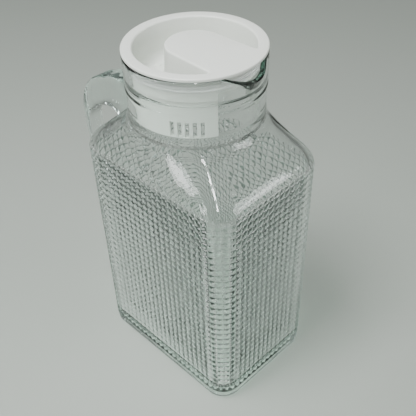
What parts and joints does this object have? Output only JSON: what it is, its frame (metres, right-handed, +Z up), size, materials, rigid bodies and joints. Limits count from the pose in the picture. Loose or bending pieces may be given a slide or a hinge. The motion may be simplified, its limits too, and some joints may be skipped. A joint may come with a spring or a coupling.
{
  "type": "glass fridge jug",
  "caption": "Rectangular glass jug with a round neck, pinched pouring spout, loop handle and a recessed plastic lid that lifts out and turns to pour or strain.",
  "frame": {"origin": "centre of the resting face under the glass body", "axes": "+Z up through the neck, -Y towards the spout, +Y towards the handle, X across the width"},
  "size_m": [0.0978, 0.1919, 0.2556],
  "materials": {
    "jug_glass": "pressed clear glass with a faint green cast, small raised pyramids on the walls",
    "seal_rubber": "milky translucent silicone",
    "lid_plastic": "satin white moulded plastic"
  },
  "bodies": {
    "jug": {"glass_body": "jug_glass", "glass_handle": "jug_glass"},
    "seal": {"lid_seal": "seal_rubber"},
    "lid": {"lid_cap": "lid_plastic", "lid_grip": "lid_plastic", "lid_strainer": "lid_plastic"}
  },
  "joints": [
    {"name": "lid_lift", "type": "slide", "parent": "jug", "child": "seal", "axis": [0, 0, 1], "range_m": [0, 0.06]},
    {"name": "lid_turn", "type": "hinge", "parent": "seal", "child": "lid", "pos_m": [0, 0, 0.2534], "axis": [0, 0, 1], "continuous": true}
  ]
}
